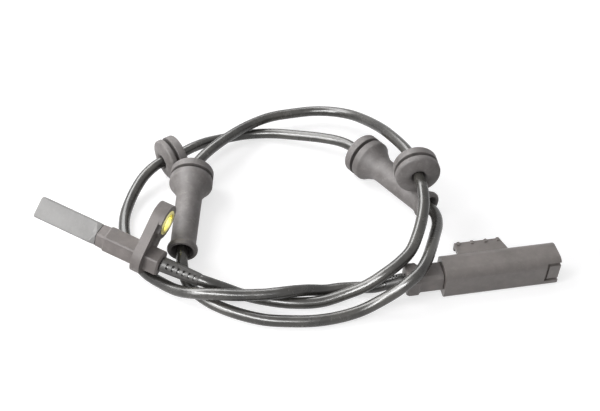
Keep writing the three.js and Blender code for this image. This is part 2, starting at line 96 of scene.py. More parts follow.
# Cable centreline in the lying frame, from inside the sensor head to inside the connector.
CABLE_POINTS: tuple[Point, ...] = (
    on_head_axis(44), on_head_axis(56.3), on_head_axis(61.3), (42.4, -3.6, 10.2),
    (46.6, -2.7, 9.4), (50.8, -1.6, 8.8), (54.4, -0.6, 8.5), (57.5, 0.7, 7.6), (60.7, 2.5, 6),
    (64, 4.3, 4.4), (67.5, 5.8, 3.1), (72.3, 7.5, 2.6), (78, 9.5, 2.6), (88.4, 14.4, 2.6),
    (98.5, 21.8, 2.9), (106.3, 29.9, 5.5), (112.2, 36, 8.8), (116.3, 41.9, 12.4),
    (119.4, 48.7, 15.2), (120.8, 56, 17.4), (119.7, 63.2, 20), (117.7, 70.1, 22.8),
    (114.6, 77, 25.2), (110.4, 83, 27.1), (107.1, 86.7, 27.1), (99.1, 95.7, 27.1),
    (92.6, 101.2, 26.4), (81, 109, 23.5), (69.9, 116, 19.5), (53.8, 123.4, 13.5),
    (44.9, 125.1, 10.8), (35.9, 123.8, 9), (28.3, 120, 8.2), (21.6, 113.9, 8),
    (13.6, 103.4, 8.6), (9.2, 90, 9.8), (7.4, 76, 11), (6.8, 65, 11.5), (6.9, 57.5, 11.4),
    (8.2, 49, 10.8), (23.4, 26.2, 8.6), (36.2, 7.1, 6.9), (41, 1.9, 4.6), (44.4, -0.6, 2.9),
    (48.6, -2.6, 2.55), (55.6, -4, 2.55), (63.7, -4.2, 2.6), (74.6, -2.3, 2.6),
    (84.9, 1.2, 2.6), (93.8, 6.4, 2.6), (102.1, 12.4, 2.6), (109.4, 19.7, 2.7),
    (115.5, 26.9, 4), (120.7, 33.4, 7.4), (124.8, 38, 11.4), (127.7, 42.5, 14.8),
    (129.4, 47.6, 16.7), (128.9, 54.5, 17), (126.6, 63.4, 15.9), (123.5, 73, 14),
    (121, 80.1, 12.5), (117.4, 85.8, 11.5), (112.8, 89.2, 11), (91, 96.5, 10.6),
    (64.9, 105.2, 10.1), (54.8, 106.8, 9.4), (44.5, 105.5, 8), (32.6, 102.6, 6), (18.2, 97.6, 4),
    (8.2, 90.3, 3.6), (2.4, 80.8, 5), (-1.2, 70, 8), (-2.9, 61.8, 9.7), (-4.2, 55.3, 10.2),
    (-8.2, 43.9, 10.2), (-9.6, 35.1, 8.4), (-9, 27.4, 5.7), (-7, 20.3, 3.5),
    (-3.7, 13.7, 2.6), (1.6, 7.2, 2.6), (9.6, 0.6, 2.6), (19.4, -4.7, 2.6), (28.2, -7.4, 2.6),
    (37, -8.3, 3.4), (46.6, -8.4, 4.8), (56.2, -6.7, 7.8), (64, -2.9, 8.7), (71.7, 2.1, 8.4),
    (76.3, 5.6, 8.2), (80.5, 8.9, 8.2), (85, 13.1, 8.2), (88.8, 17.8, 7.2), (92.3, 23.4, 4.6),
    (96.6, 28, 2.8), (101.5, 32.9, 2.6), (107.2, 37.4, 2.6), (113.4, 40.6, 4), (118.6, 44.3, 6.3),
    (123.7, 48.8, 7.3), (134.5, 59.2, 7.3), (139.9, 64.4, 7.3),
)
# The solids inside the connector.
CONNECTOR_INSIDE = (
    "contact_carrier", "contact_pin_a", "contact_pin_b", "connector_wire_a", "connector_wire_b"
)


class Kind(Enum):
    """What a pick in edit mode selects."""

    VERTS = "VERT"
    EDGES = "EDGE"
    FACES = "FACE"


class Joining(Enum):
    """What becomes of a solid that is combined with a piece."""

    ADD = "UNION"
    CUT = "DIFFERENCE"


# A block of a piece: its name, its lowest and its highest corner, and how it is joined.
Block = tuple[str, Point, Point, Joining]


def only(piece: Piece) -> None:
    """Leaves one object selected and active.

    Args:
        piece: the object.
    """
    bpy.ops.object.select_all(action="DESELECT")
    piece.select_set(True)
    bpy.context.view_layer.objects.active = piece


def named(name: str) -> Piece:
    """Names the object that a primitive operator has just added, and applies its place.

    Args:
        name: the name of the object and its mesh.

    Returns:
        The object.
    """
    piece = bpy.context.view_layer.objects.active
    piece.name = name
    piece.data.name = name
    only(piece)
    bpy.ops.object.transform_apply(location=True, rotation=True, scale=True)
    return piece


def add_object(name: str, data: bpy.types.ID) -> Piece:
    """Puts a camera, a lamp, a curve or a mesh into the scene.

    Args:
        name: the object's name.
        data: what the object holds.

    Returns:
        The object.
    """
    made = bpy.data.objects.new(name, data)
    bpy.context.scene.collection.objects.link(made)
    return made


def enter(piece: Piece) -> None:
    """Opens a piece in edit mode with nothing selected.

    Args:
        piece: the piece in object mode.
    """
    only(piece)
    bpy.ops.object.mode_set(mode="EDIT")
    bpy.ops.mesh.select_all(action="DESELECT")


def leave() -> None:
    """Goes back to object mode."""
    bpy.ops.object.mode_set(mode="OBJECT")


def pick(piece: Piece, kind: Kind, test: Test) -> None:
    """Selects parts of a piece in edit mode by their place and direction.

    Args:
        piece: the piece in edit mode.
        kind: vertices, edges or faces.
        test: takes the place and the normal (for an edge, its direction) and says yes or no.
    """
    bpy.ops.mesh.select_all(action="DESELECT")
    bpy.ops.mesh.select_mode(type=kind.value)
    mesh = bmesh.from_edit_mesh(piece.data)
    if kind is Kind.VERTS:
        rows = [(v, v.co, v.normal) for v in mesh.verts]
    elif kind is Kind.EDGES:
        rows = [
            (e, (e.verts[0].co + e.verts[1].co) / 2, (e.verts[1].co - e.verts[0].co).normalized())
            for e in mesh.edges
        ]
    else:
        rows = [(f, f.calc_center_median(), f.normal) for f in mesh.faces]
    for element, place, direction in rows:
        if test(place, direction):
            element.select_set(True)
    mesh.select_flush_mode()
    bmesh.update_edit_mesh(piece.data)


def finish_modifier(piece: Piece, kind: str, **settings: object) -> None:
    """Adds a modifier to a piece and applies it.

    Args:
        piece: the piece in object mode.
        kind: the modifier's type.
        settings: its properties.
    """
    made = piece.modifiers.new(kind.title(), kind)
    for key, value in settings.items():
        setattr(made, key, value)
    only(piece)
    bpy.ops.object.modifier_apply(modifier=made.name)


def combine(piece: Piece, other: Piece, joining: Joining) -> None:
    """Adds another solid to a piece, or cuts it away, and removes the other."""
    finish_modifier(piece, "BOOLEAN", object=other, operation=joining.value, solver="EXACT")
    bpy.data.objects.remove(other, do_unlink=True)


def soften(piece: Piece, width: float, segments: int = 2, angle: float = 28) -> None:
    """Rounds every edge of a piece that is sharper than an angle.

    Args:
        piece: the piece in object mode.
        width: the round's width in millimetres.
        segments: how many faces the round has.
        angle: the angle in degrees from which an edge counts as sharp.
    """
    finish_modifier(
        piece, "BEVEL", width=width, segments=segments, limit_method="ANGLE",
        angle_limit=math.radians(angle), use_clamp_overlap=True, miter_outer="MITER_ARC",
    )


def add_block(name: str, low: Point, high: Point) -> Piece:
    """Adds a block between two corners.

    Args:
        name: the object's name.
        low: the corner with the lowest x, y and z, in millimetres.
        high: the corner with the highest.

    Returns:
        The block.
    """
    middle = [(a + b) / 2 for a, b in zip(low, high)]
    size = [b - a for a, b in zip(low, high)]
    bpy.ops.object.select_all(action="DESELECT")
    bpy.ops.mesh.primitive_cube_add(size=1, location=middle, scale=size)
    return named(name)


def combine_blocks(piece: Piece, blocks: Sequence[Block]) -> None:
    """Adds blocks to a piece, or cuts them away, one after the other."""
    for name, low, high, joining in blocks:
        combine(piece, add_block(name, low, high), joining)


def add_round(
    name: str, radius: float, start: float, end: float, centre: Pair = (0, 0), sides: int = 64
) -> Piece:
    """Adds a round bar along X.

    Args:
        name: the object's name.
        radius: its radius in millimetres.
        start: its lower end along X.
        end: its upper end along X.
        centre: its axis, in Y and Z.
        sides: how many sides it has.

    Returns:
        The bar.
    """
    bpy.ops.object.select_all(action="DESELECT")
    bpy.ops.mesh.primitive_cylinder_add(
        vertices=sides, radius=radius, depth=end - start,
        location=((start + end) / 2, centre[0], centre[1]), rotation=(0, math.pi / 2, 0),
    )
    return named(name)


def turn(name: str, rings: Sequence[Pair], sides: int) -> Piece:
    """Turns a hollow piece about X: an open ring grows ring by ring and meets its own start.

    Args:
        name: the object's name.
        rings: radius and x of each ring in millimetres; the last is the same as the first.
        sides: how many sides the rings have.

    Returns:
        The closed piece.
    """
    radius, x = rings[0]
    bpy.ops.object.select_all(action="DESELECT")
    bpy.ops.mesh.primitive_circle_add(
        vertices=sides, radius=radius, fill_type="NOTHING", location=(x, 0, 0),
        rotation=(0, math.pi / 2, 0),
    )
    piece = named(name)
    enter(piece)
    bpy.ops.mesh.select_mode(type="VERT")
    bpy.ops.mesh.select_all(action="SELECT")
    for next_radius, next_x in rings[1:]:
        bpy.ops.mesh.extrude_region_move(TRANSFORM_OT_translate={"value": (next_x - x, 0, 0)})
        scale = next_radius / radius
        bpy.ops.transform.resize(value=(1, scale, scale), center_override=(next_x, 0, 0))
        radius, x = next_radius, next_x
    bpy.ops.mesh.select_all(action="SELECT")
    bpy.ops.mesh.remove_doubles(threshold=2 * SAME_PLACE)
    bpy.ops.mesh.normals_make_consistent(inside=False)
    leave()
    return piece


@dataclass(frozen=True)
class Section:
    """An eight-cornered section across X: four side corners and four top corners.

    Attributes:
        x: its place along X.
        side: y and z of the side corners.
        top: y and z of the top corners.
    """

    x: float
    side: Pair
    top: Pair


def shape_section(piece: Piece, section: Section) -> None:
    """Brings the eight corners of a section to their places, two groups of four at a time.

    Args:
        piece: the piece in edit mode, with eight corners at the section's x.
        section: where those corners go.
    """
    for wide in (True, False):
        mesh = bmesh.from_edit_mesh(piece.data)
        ring = [v.co.copy() for v in mesh.verts if abs(v.co.x - section.x) < SAME_PLACE]
        reach = sorted(abs(c.y) for c in ring)
        middle = (reach[3] + reach[4]) / 2
        target = section.side if wide else section.top
        now = next(c for c in ring if (abs(c.y) > middle) == wide)
        pick(
            piece, Kind.VERTS,
            lambda c, _: abs(c.x - section.x) < SAME_PLACE and (abs(c.y) > middle) == wide,
        )
        bpy.ops.transform.resize(
            value=(1, target[0] / abs(now.y), target[1] / abs(now.z)),
            center_override=(section.x, 0, 0),
        )


def grow(name: str, sections: Sequence[Section]) -> Piece:
    """Grows an eight-sided solid from section to section along X.

    Args:
        name: the object's name.
        sections: the sections in order of x.

    Returns:
        The closed solid.
    """
    first = sections[0]
    bpy.ops.object.select_all(action="DESELECT")
    bpy.ops.mesh.primitive_circle_add(
        vertices=8, radius=3, fill_type="NGON", location=(first.x, 0, 0),
        rotation=(0, math.pi / 2, 0),
    )
    piece = named(name)
    enter(piece)
    bpy.ops.mesh.select_all(action="SELECT")
    half_step = math.pi / 8
    bpy.ops.transform.rotate(value=half_step, orient_axis="X", center_override=(first.x, 0, 0))
    shape_section(piece, first)
    for before, section in zip(sections, sections[1:]):
        pick(piece, Kind.FACES, lambda c, _: abs(c.x - before.x) < SAME_PLACE)
        bpy.ops.mesh.extrude_region_move(
            TRANSFORM_OT_translate={"value": (section.x - before.x, 0, 0)}
        )
        shape_section(piece, section)
    bpy.ops.mesh.select_all(action="SELECT")
    bpy.ops.mesh.normals_make_consistent(inside=False)
    leave()
    return piece


def run_frame(start: Point, end: Point) -> Matrix:
    """Gives the frame that stands at one point and has its +X towards another.

    Args:
        start: where it stands, in the lying frame, in millimetres.
        end: the point that +X runs to.

    Returns:
        That frame in the part's frame.
    """
    towards = (Vector(end) - Vector(start)).normalized()
    turned = Vector((1, 0, 0)).rotation_difference(towards).to_matrix().to_4x4()
    return LYING @ Matrix.Translation(start) @ turned


def dress(piece: Piece, material: Material) -> None:
    """Gives a piece one material in its only slot."""
    piece.data.materials.clear()
    piece.data.materials.append(material)


def settle(
    piece: Piece, place: Matrix, material: Material, node: str,
    smooth: float = 32,
) -> None:
    """Brings a finished piece to its place, dresses it, hangs it under the root and hides the
    solid that it stands for.

    Args:
        piece: the piece, modelled in millimetres in its own frame.
        place: that frame in the part's frame.
        material: what it is made of.
        node: the solid that it stands for.
        smooth: faces that meet at less than this angle, in degrees, shade as one.
    """
    piece.matrix_world = place
    only(piece)
    bpy.ops.object.transform_apply(location=True, rotation=True, scale=True)
    bpy.ops.object.shade_smooth_by_angle(angle=math.radians(smooth))
    finish_modifier(piece, "WEIGHTED_NORMAL", keep_sharp=True)
    dress(piece, material)
    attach(piece, "root")
    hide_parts(node)
    log.info("made %s with %d faces", piece.name, len(piece.data.polygons))


# Sockets of a Mix node for colours, by number because its kinds of mix share their names.
MIX_SHARE, MIX_FIRST, MIX_SECOND, MIX_RESULT = 0, 6, 7, 2
WHITE = (1, 1, 1, 1)


def linear(code: str) -> tuple[float, float, float, float]:
    """Turns an sRGB hex colour into the linear values that a shader socket takes.

    Args:
        code: six hex digits.

    Returns:
        Red, green, blue and an alpha of 1.
    """
    levels = [int(code[i : i + 2], 16) / 255 for i in (0, 2, 4)]
    made = [v / 12.92 if v <= 0.04045 else ((v + 0.055) / 1.055) ** 2.4 for v in levels]
    return (made[0], made[1], made[2], 1.0)


def add_node(
    tree: NodeTree,
    kind: str,
    sockets: dict | None = None,
    links: dict | None = None,
    **settings: object,
) -> bpy.types.Node:
    """Adds a shader node with its settings, socket values and incoming links.

    Args:
        tree: the node tree that gets the node.
        kind: the node's type name.
        sockets: input name or number to its value.
        links: input name or number to (node, output name or number).
        settings: the node's own properties.

    Returns:
        The new node.
    """
    made = tree.nodes.new(kind)
    for key, value in settings.items():
        setattr(made, key, value)
    for key, value in (sockets or {}).items():
        made.inputs[key].default_value = value
    for key, (source, output) in (links or {}).items():
        tree.links.new(source.outputs[output], made.inputs[key])
    return made


def empty_material(name: str) -> Material:
    """Makes a material whose node tree is empty.

    Args:
        name: the material's name.

    Returns:
        The material.
    """
    made = bpy.data.materials.new(name)
    made.use_nodes = True
    made.node_tree.nodes.clear()
    return made


@dataclass(frozen=True)
class MouldedFinish:
    """A moulded plastic or rubber: a slightly uneven body colour under a fine moulded skin.

    Attributes:
        name: the material's name.
        dark: the body colour where it is darkest.
        light: the body colour where it is lightest.
        bloom: the colour of the pale film or dust on it.
        cloud_mm: size of the uneven patches.
        grain_mm: size of the skin's grain, drawn coarser than the real 0.1 mm so that it shows.
        relief_mm: how deep that grain is.
        roughness: gloss of the skin, from its smoothest to its roughest place.
        bloom_share: how strongly the film covers the colour.
        specular: how strongly the skin mirrors.
        film_grains: how many grains a patch of the film is wide.
    """

    name: str
    dark: str
    light: str
    bloom: str
    cloud_mm: float = 9.0
    grain_mm: float = 0.45
    relief_mm: float = 0.02
    roughness: Pair = (0.42, 0.58)
    bloom_share: float = 0.18
    specular: float = 0.5
    film_grains: float = 4

    def make(self) -> Material:
        """Builds the material. Noise mostly lies between the From values of its ranges.

        Returns:
            The material.
        """
        made = empty_material(self.name)
        tree = made.node_tree
        at_place = {"Vector": (add_node(tree, "ShaderNodeTexCoord"), "Object")}
        cloud = add_node(
            tree, "ShaderNodeTexNoise",
            {"Scale": MM_PER_M / self.cloud_mm, "Detail": 3.0, "Roughness": 0.55}, at_place,
        )
        spread = add_node(
            tree, "ShaderNodeMapRange", {"From Min": 0.34, "From Max": 0.66},
            {"Value": (cloud, "Fac")},
        )
        body = add_node(
            tree, "ShaderNodeMix",
            {MIX_FIRST: linear(self.dark), MIX_SECOND: linear(self.light)},
            {MIX_SHARE: (spread, "Result")}, data_type="RGBA",
        )
        dust = add_node(
            tree, "ShaderNodeTexNoise",
            {"Scale": MM_PER_M / (self.grain_mm * self.film_grains), "Detail": 5.0,
             "Roughness": 0.7},
            at_place,
        )
        film = add_node(
            tree, "ShaderNodeMapRange",
            {"From Min": 0.5, "From Max": 0.78, "To Max": self.bloom_share},
            {"Value": (dust, "Fac")},
        )
        colour = add_node(
            tree, "ShaderNodeMix", {MIX_SECOND: linear(self.bloom)},
            {MIX_SHARE: (film, "Result"), MIX_FIRST: (body, MIX_RESULT)}, data_type="RGBA",
        )
        gloss = add_node(
            tree, "ShaderNodeMapRange",
            {"From Min": 0.3, "From Max": 0.7, "To Min": self.roughness[0],
             "To Max": self.roughness[1]},
            {"Value": (dust, "Fac")},
        )
        grain = add_node(
            tree, "ShaderNodeTexNoise",
            {"Scale": MM_PER_M / self.grain_mm, "Detail": 2.0, "Roughness": 0.5}, at_place,
        )
        bump = add_node(
            tree, "ShaderNodeBump",
            {"Strength": 0.55, "Distance": self.relief_mm / MM_PER_M},
            {"Height": (grain, "Fac")},
        )
        skin = add_node(
            tree, "ShaderNodeBsdfPrincipled", {"Specular IOR Level": self.specular},
            {"Base Color": (colour, MIX_RESULT), "Roughness": (gloss, "Result"),
             "Normal": (bump, "Normal")},
        )
        add_node(tree, "ShaderNodeOutputMaterial", None, {"Surface": (skin, "BSDF")})
        return made


@dataclass(frozen=True)
class TurnedMetalFinish:
    """A turned or stamped metal: fine tool marks across X and a few dull patches.

    Attributes:
        name: the material's name.
        bright: the clean metal's colour.
        dull: the colour where it has tarnished.
        mark_mm: spacing of the tool marks, drawn coarser than the real 0.1 mm so that they show.
        roughness: gloss, from its smoothest to its roughest place.
        patch_mm: size of the dull patches.
        relief_mm: how deep the marks are.
    """

    name: str
    bright: str
    dull: str
    mark_mm: float = 2.2
    roughness: Pair = (0.25, 0.42)
    patch_mm: float = 3.846
    relief_mm: float = 0.02

    def make(self) -> Material:
        """Builds the material. A wave texture of scale 1 repeats every tau / 20 metres.

        Returns:
            The material.
        """
        made = empty_material(self.name)
        tree = made.node_tree
        at_place = {"Vector": (add_node(tree, "ShaderNodeTexCoord"), "Object")}
        tarnish = add_node(
            tree, "ShaderNodeTexNoise",
            {"Scale": MM_PER_M / self.patch_mm, "Detail": 4.0, "Roughness": 0.6}, at_place,
        )
        marks = add_node(
            tree, "ShaderNodeTexWave",
            {"Scale": math.tau / 20 * MM_PER_M / self.mark_mm, "Distortion": 1.2, "Detail": 2.0},
            at_place, bands_direction="X",
        )
        colour = add_node(
            tree, "ShaderNodeMix",
            {MIX_FIRST: linear(self.bright), MIX_SECOND: linear(self.dull)},
            {MIX_SHARE: (tarnish, "Fac")}, data_type="RGBA",
        )
        gloss = add_node(
            tree, "ShaderNodeMapRange",
            {"To Min": self.roughness[0], "To Max": self.roughness[1]},
            {"Value": (tarnish, "Fac")},
        )
        bump = add_node(
            tree, "ShaderNodeBump",
            {"Strength": 0.3, "Distance": self.relief_mm / MM_PER_M},
            {"Height": (marks, "Fac")},
        )
        skin = add_node(
            tree, "ShaderNodeBsdfPrincipled", {"Metallic": 1.0},
            {"Base Color": (colour, MIX_RESULT), "Roughness": (gloss, "Result"),
             "Normal": (bump, "Normal")},
        )
        add_node(tree, "ShaderNodeOutputMaterial", None, {"Surface": (skin, "BSDF")})
        return made


# Glass-filled nylon of the sensor's tip: paler than the body, with a satin spark-eroded skin.
TIP_NYLON = MouldedFinish(
    "glass_filled_nylon_tip", "838281", "8f8e8d", "aeaca9", roughness=(0.5, 0.62), specular=0.22
)
# Glass-filled nylon of the housing: grey-brown, satin, with a few paler glass-rich patches.
HOUSING_NYLON = MouldedFinish(
    "glass_filled_nylon_housing", "6f6a68", "7e7876", "a5a09c", roughness=(0.46, 0.58),
    specular=0.2,
)
# PBT of the connector's shell: much like the housing, with the glossier skin of a polished mould.
SHELL_PBT = MouldedFinish(
    "moulded_pbt_shell", "6c6764", "7b7572", "9c9690", relief_mm=0.006, roughness=(0.3, 0.36)
)
# The same PBT without light on it, for the insert that holds the contacts.
CARRIER_PBT = MouldedFinish("moulded_pbt_insert", "2c2a29", "3a3837", "5a5856")
# EPDM of the grommets: matt, with the pale bloom that such rubber sweats out.
GROMMET_EPDM = MouldedFinish(
    "epdm_grommet", "65615f", "757170", "a5a09d", cloud_mm=6, grain_mm=0.6,
    roughness=(0.5, 0.66), bloom_share=0.34, specular=0.4,
)
# TPE of the connector's boot: a soft satin skin, a little smoother than the grommets'.
BOOT_TPE = MouldedFinish(
    "tpe_boot", "6f6a68", "807a77", "9c9792", cloud_mm=6, roughness=(0.42, 0.56)
)
# TPE of the two ribbed reliefs: darker and glossier than the boot.
RELIEF_TPE = MouldedFinish(
    "tpe_relief", "363533", "474543", "7b7873", cloud_mm=5, roughness=(0.36, 0.5),
    specular=0.45,
)
# Extruded polyurethane of the cable's jacket: dark and smooth, so lamps draw light lines on it.
JACKET_PUR = MouldedFinish(
    "polyurethane_jacket", "262523", "4c4a46", "7f7c78", cloud_mm=16, grain_mm=1.4,
    relief_mm=0.002, roughness=(0.22, 0.3), bloom_share=0.08, specular=0.6,
)
# Black epoxy of the sensing chip and its carrier, inside the tip: a dull near-black.
CHIP_EPOXY = MouldedFinish("moulded_epoxy_chip", "1c1c1d", "262627", "3c3c3c")
# PVC of the two cores' insulation: dark, with a slight gloss.
CORE_PVC = MouldedFinish("pvc_core", "2a2a2c", "363638", "505052", roughness=(0.35, 0.45))
# Free-cutting brass of the flange's bush, turned: a bright yellow ring, slightly tarnished.
BUSH_BRASS = TurnedMetalFinish("turned_brass_bush", "f3f0a6", "dccf8c", roughness=(0.36, 0.52))
# Tinned bronze of the contacts, strips and crimps: a bright pale grey.
TINNED = TurnedMetalFinish("tinned_bronze_contact", "c9c8c4", "aaa8a2", mark_mm=3.14)


def looking(place: Point, target: Point) -> Matrix:
    """Gives the place of a camera or a lamp that looks from one point at another.

    Args:
        place: where it stands, in the lying frame, in millimetres.
        target: the point that it looks at, in the same frame.

    Returns:
        Its place in the part's frame.
    """
    spot = LYING @ Vector(place)
    look = (LYING @ Vector(target)) - spot
    return Matrix.Translation(spot) @ look.to_track_quat("-Z", "Y").to_matrix().to_4x4()


def add_sight_test(tree: NodeTree) -> bpy.types.Node:
    """Adds the test for the rays that show the white background.

    Args:
        tree: the nodes of the floor or of the world.

    Returns:
        The node whose Value is 1 for rays from camera, gloss and glass, and 0 for others.
    """
    path = add_node(tree, "ShaderNodeLightPath")
    seen = add_node(
        tree, "ShaderNodeMath", None,
        {0: (path, "Is Camera Ray"), 1: (path, "Is Glossy Ray")}, operation="MAXIMUM",
    )
    return add_node(
        tree, "ShaderNodeMath", None,
        {0: (seen, "Value"), 1: (path, "Is Transmission Ray")}, operation="MAXIMUM",
    )


@dataclass
class Studio:
    """The camera of the photograph, a white floor and soft lamps.

    Attributes:
        eye: where the camera stands, in the lying frame, in millimetres.
        aim: the table's point at the middle of the picture.
        lens_mm: focal length on a 36 mm wide picture.
        floor_gap: how far under z = 0 it lies, so that it shares no plane with what lies on it.
        floor_colour: its colour where light falls on it, which the shadows keep.
        glow: how brightly it glows to the camera, under the part and far from it.
        glow_reach: how far from the part's origin the glow starts and ends rising, in metres.
        walls: how brightly the surroundings light the part from -x and from +x.
        lit: the point that the lamps face.
        lamps: name, place, width and height in millimetres, power in watts, and whether the
            lamp shows in reflections alone.
    """

    eye: Point = (220.5, -170.8, 283.0)
    aim: Point = (57.4, 66.5, 0.0)
    lens_mm: float = 51.66
    floor_gap: float = 0.0351
    floor_colour: tuple[float, float, float, float] = (0.5, 0.497, 0.503, 1)
    glow: Pair = (0.66, 1.0)
    glow_reach: Pair = (0.2, 0.8)
    walls: Pair = (0.8, 0.25)
    lit: Point = (60, 55, 8)
    lamps: tuple[tuple[str, Point, Pair, float, bool], ...] = (
        ("top_left_lamp", (-320, -30, 460), (300, 300), 1.5, False),
        ("front_lamp", (-110, -430, 260), (220, 220), 1.9, False),
        ("front_strip", (0, -330, 440), (640, 150), 8, True),
        ("left_strip", (-330, 160, 400), (700, 280), 5, True),
    )

    def add_camera(self) -> None:
        """Places the camera and makes it the scene's own."""
        data = bpy.data.cameras.new("photo_camera")
        data.lens = self.lens_mm
        data.sensor_width = 36
        data.clip_start = 0.01
        camera = add_object("photo_camera", data)
        camera.matrix_world = looking(self.eye, self.aim)
        bpy.context.scene.camera = camera

    def add_floor(self) -> None:
        """Lays the floor: white to the camera, and a diffuse white that keeps the shadows."""
        middle = LYING @ (Vector(self.aim) - Vector((0, 0, self.floor_gap)))
        bpy.ops.object.select_all(action="DESELECT")
        bpy.ops.mesh.primitive_plane_add(size=6, location=middle)
        floor = named("floor")
        made = empty_material("white_table")
        tree = made.node_tree
        shown = add_sight_test(tree)
        place = add_node(tree, "ShaderNodeTexCoord")
        reach = add_node(
            tree, "ShaderNodeVectorMath", None, {0: (place, "Object")}, operation="LENGTH"
        )
        away = add_node(
            tree, "ShaderNodeMapRange",
            {"From Min": self.glow_reach[0], "From Max": self.glow_reach[1],
             "To Min": self.glow[0], "To Max": self.glow[1]},
            {"Value": (reach, "Value")},
        )
        level = add_node(
            tree, "ShaderNodeMath", None, {0: (shown, "Value"), 1: (away, "Result")},
            operation="MULTIPLY",
        )
        table = add_node(tree, "ShaderNodeBsdfDiffuse", {"Color": self.floor_colour})
        shine = add_node(
            tree, "ShaderNodeEmission", {"Color": WHITE}, {"Strength": (level, "Value")}
        )
        both = add_node(
            tree, "ShaderNodeAddShader", None, {0: (table, "BSDF"), 1: (shine, "Emission")}
        )
        add_node(tree, "ShaderNodeOutputMaterial", None, {"Surface": (both, "Shader")})
        dress(floor, made)

    def add_light(self) -> None:
        """Sets the white surroundings and the soft lamps."""
        world = bpy.data.worlds.new("white_room")
        bpy.context.scene.world = world
        world.use_nodes = True
        tree = world.node_tree
        tree.nodes.clear()
        shown = add_sight_test(tree)
        side = add_node(tree, "ShaderNodeTexCoord")
        across = add_node(tree, "ShaderNodeSeparateXYZ", None, {"Vector": (side, "Generated")})
        fall = add_node(
            tree, "ShaderNodeMapRange",
            {"From Min": -1.0, "From Max": 1.0, "To Min": self.walls[0],
             "To Max": self.walls[1]},
            {"Value": (across, "X")},
        )
        level = add_node(
            tree, "ShaderNodeMath", None, {0: (shown, "Value"), 1: (fall, "Result")},
            operation="MAXIMUM",
        )
        air = add_node(
            tree, "ShaderNodeBackground", {"Color": WHITE}, {"Strength": (level, "Value")}
        )
        add_node(tree, "ShaderNodeOutputWorld", None, {"Surface": (air, "Background")})
        for name, place, size_mm, power, gloss_only in self.lamps:
            data = bpy.data.lights.new(name, "AREA")
            data.shape = "RECTANGLE"
            data.size, data.size_y = (side / MM_PER_M for side in size_mm)
            data.energy = power
            lamp = add_object(name, data)
            lamp.matrix_world = looking(place, self.lit)
            lamp.visible_diffuse = not gloss_only


def centripetal(points: Sequence[Point], steps: int) -> list[Vector]:
    """Runs one smooth line through a row of points.

    Args:
        points: the points that the line passes.
        steps: how many steps it takes between two of them.

    Returns:
        The line's points.
    """
    rows = [Vector(p) for p in points]
    rows = [2 * rows[0] - rows[1], *rows, 2 * rows[-1] - rows[-2]]
    line = []
    for a, b, c, d in zip(rows, rows[1:], rows[2:], rows[3:]):
        t1 = (b - a).length ** 0.5
        t2 = t1 + (c - b).length ** 0.5
        t3 = t2 + (d - c).length ** 0.5
        for i in range(steps):
            t = t1 + (t2 - t1) * i / steps
            ab = a.lerp(b, t / t1)
            bc = b.lerp(c, (t - t1) / (t2 - t1))
            cd = c.lerp(d, (t - t2) / (t3 - t2))
            first = ab.lerp(bc, t / t2)
            second = bc.lerp(cd, (t - t1) / (t3 - t1))
            line.append(first.lerp(second, (t - t1) / (t2 - t1)))
    line.append(rows[-2])
    return line


@dataclass
class Cable:
    """The two-core cable between the sensor head and the connector.

    Attributes:
        radius_mm: half its width.
        steps: how many steps its line takes between two points of the route.
    """

    radius_mm: float = 2.5
    steps: int = 6

    def centreline(self) -> list[Vector]:
        """Gives the points of the cable's line in the part's frame, in metres."""
        return [LYING @ p for p in centripetal(CABLE_POINTS, self.steps)]

    def build(self) -> Piece:
        """Makes the jacket as one open line with a round section.

        Returns:
            The jacket.
        """
        line = self.centreline()
        data = bpy.data.curves.new("cable_jacket", "CURVE")
        data.dimensions = "3D"
        data.bevel_depth = self.radius_mm / MM_PER_M
        data.bevel_resolution = 6
        data.use_fill_caps = True
        spline = data.splines.new("POLY")
        spline.points.add(len(line) - 1)
        for point, place in zip(spline.points, line):
            point.co = (*place, 1)
        spline.use_smooth = True
        return add_object("cable_jacket", data)

    def declare(self, piece: Piece) -> None:
        """Dresses the jacket, hangs it under the root and hides the cable solid that it stands
        for.

        Args:
            piece: the jacket.
        """
        dress(piece, JACKET_PUR.make())
        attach(piece, "root")
        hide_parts("cable")


